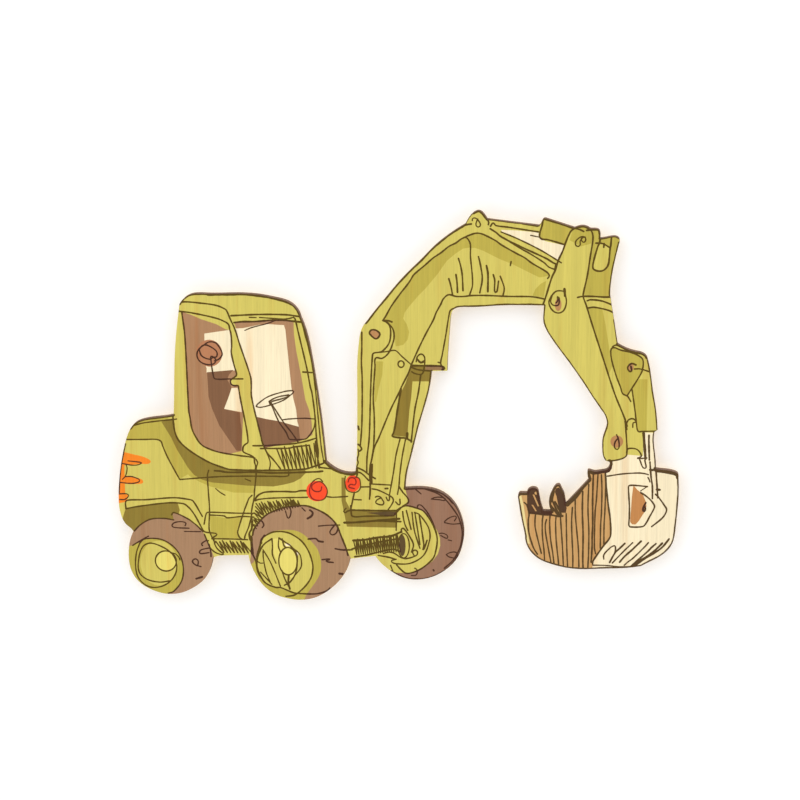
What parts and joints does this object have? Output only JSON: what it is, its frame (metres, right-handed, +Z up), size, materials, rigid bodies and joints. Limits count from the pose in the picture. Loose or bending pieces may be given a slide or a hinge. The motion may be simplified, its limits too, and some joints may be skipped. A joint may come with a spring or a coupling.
{
  "type": "wooden wall cut-out",
  "caption": "Flat plywood wall plaque cut to the outline of a wheeled excavator, printed on the front, with ring hangers and soft bumpers behind.",
  "frame": {"origin": "on the wall plane, midway between the two hanger barrels, which the wall hooks level", "axes": "+X to the viewer's right, along the excavator from its rear to its bucket; +Y into the wall; +Z up"},
  "size_m": [0.3777, 0.0111, 0.2677],
  "materials": {
    "printed_face": "printed matt veneer",
    "ply_crossband": "scorched cut edge",
    "ply_core": "scorched cut edge",
    "back_veneer": "sanded, bare",
    "plated_strip": "nickel plated",
    "plated_wire": "nickel plated",
    "plated_screw": "zinc plated",
    "bumper": "clear, slightly milky"
  },
  "bodies": {
    "plaque": {"face_veneer": "printed_face", "front_crossband": "ply_crossband", "core_ply": "ply_core", "back_crossband": "ply_crossband", "back_veneer": "back_veneer", "hanger_strap_left": "plated_strip", "hanger_strap_right": "plated_strip", "hanger_screw_left": "plated_screw", "hanger_screw_right": "plated_screw", "bumper_rear": "bumper", "bumper_middle": "bumper", "bumper_bucket": "bumper", "bumper_boom": "bumper"},
    "ring_left": {"hanger_ring_left": "plated_wire"},
    "ring_right": {"hanger_ring_right": "plated_wire"}
  },
  "joints": [
    {"name": "ring_left_swing", "type": "hinge", "parent": "plaque", "child": "ring_left", "pos_m": [-0.118, -0.00302, 0], "axis": [1, 0, 0], "range_deg": [0, 175]},
    {"name": "ring_right_swing", "type": "hinge", "parent": "plaque", "child": "ring_right", "pos_m": [0.118, -0.00302, 0], "axis": [1, 0, 0], "range_deg": [0, 175]}
  ]
}
